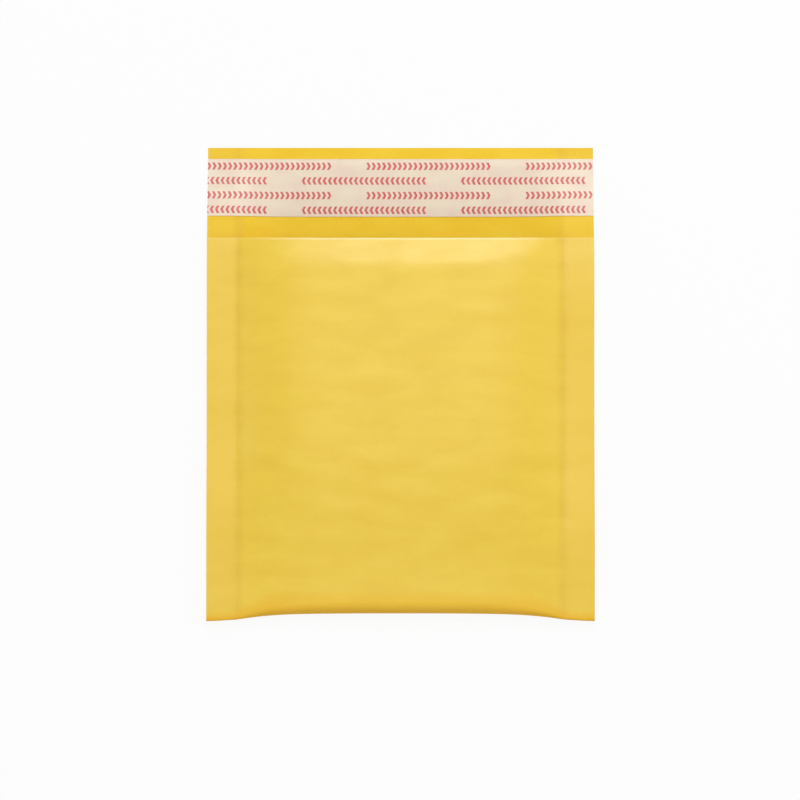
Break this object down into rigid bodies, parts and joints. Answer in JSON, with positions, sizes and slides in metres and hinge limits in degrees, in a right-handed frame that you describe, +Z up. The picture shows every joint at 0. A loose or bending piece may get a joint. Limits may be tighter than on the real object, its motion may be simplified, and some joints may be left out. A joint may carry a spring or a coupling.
{
  "type": "padded bubble mailer",
  "caption": "Small yellow kraft envelope lined with bubble film, lying empty on its back with its flap open and a release strip over the adhesive.",
  "frame": {"origin": "on the floor, under the middle of the mailer's box", "axes": "+X across the mailer, +Y from the bottom fold to the open flap, +Z up out of the front panel"},
  "size_m": [0.15, 0.1832, 0.013],
  "materials": {
    "kraft_paper": "matt",
    "bubble_film": "glossy, clear",
    "adhesive": "tacky, translucent",
    "release_paper": "satin, siliconised"
  },
  "bodies": {
    "root": {"kraft_envelope": "kraft_paper", "bubble_liner": "bubble_film", "adhesive_strip": "adhesive", "release_liner": "release_paper"}
  },
  "joints": []
}
